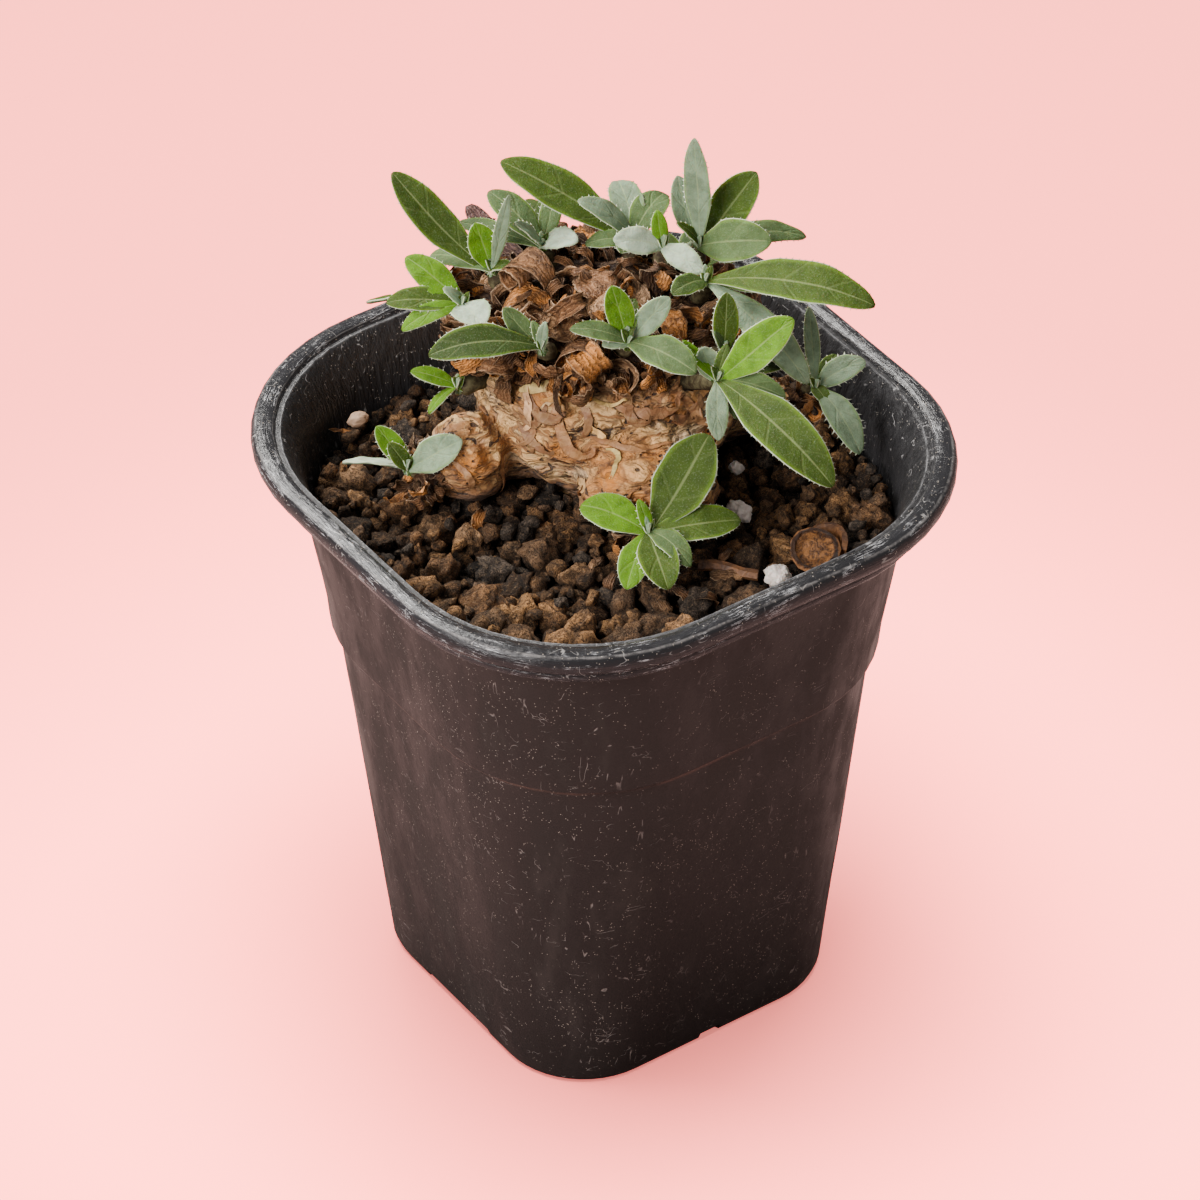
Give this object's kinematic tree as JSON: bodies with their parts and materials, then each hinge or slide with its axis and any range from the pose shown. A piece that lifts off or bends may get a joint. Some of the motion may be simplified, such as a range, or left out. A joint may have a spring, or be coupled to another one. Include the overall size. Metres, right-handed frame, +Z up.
{
  "type": "potted othonna",
  "caption": "Swollen-stemmed othonna with felted leaf rosettes and dried old leaves, growing in a square black nursery pot of granular soil.",
  "frame": {"origin": "centre of the pot's flat underside", "axes": "+Z up out of the pot; X and Y along the pot's sides; the picture looks at the corner between -X and -Y"},
  "size_m": [0.0998, 0.0998, 0.1473],
  "materials": {
    "pot_plastic": "scuffed satin",
    "soil_grains": "rough granules",
    "caudex_bark": "papery ridged bark",
    "old_leaf": "dry and curled",
    "leaf_green": "felted",
    "leaf_silver": "white felted",
    "perlite": "porous",
    "bark": "dry bark",
    "tan_stone": "rough"
  },
  "bodies": {
    "root": {"bark_arc": "bark", "bark_disc": "bark", "caudex": "caudex_bark", "old_leaves_crown": "old_leaf", "old_leaves_front_knob": "old_leaf", "old_leaves_left_knob": "old_leaf", "old_leaves_right_branch": "old_leaf", "perlite_front": "perlite", "perlite_middle": "perlite", "perlite_small": "perlite", "pot": "pot_plastic", "rosette_back_centre": "leaf_silver", "rosette_back_left": "leaf_silver", "rosette_back_middle": "leaf_silver", "rosette_back_right": "leaf_silver", "rosette_front_high": "leaf_green", "rosette_front_knob": "leaf_green", "rosette_front_left": "leaf_green", "rosette_left_crown": "leaf_green", "rosette_left_knob": "leaf_silver", "rosette_left_shoulder": "leaf_green", "rosette_left_side": "leaf_green", "rosette_rear_low_left": "leaf_green", "rosette_rear_low_right": "leaf_green", "rosette_right_branch": "leaf_green", "rosette_right_crown": "leaf_green", "rosette_right_shoulder": "leaf_green", "rosette_right_upright": "leaf_green", "soil": "soil_grains", "tan_pebble": "tan_stone", "twig": "bark"}
  },
  "joints": []
}
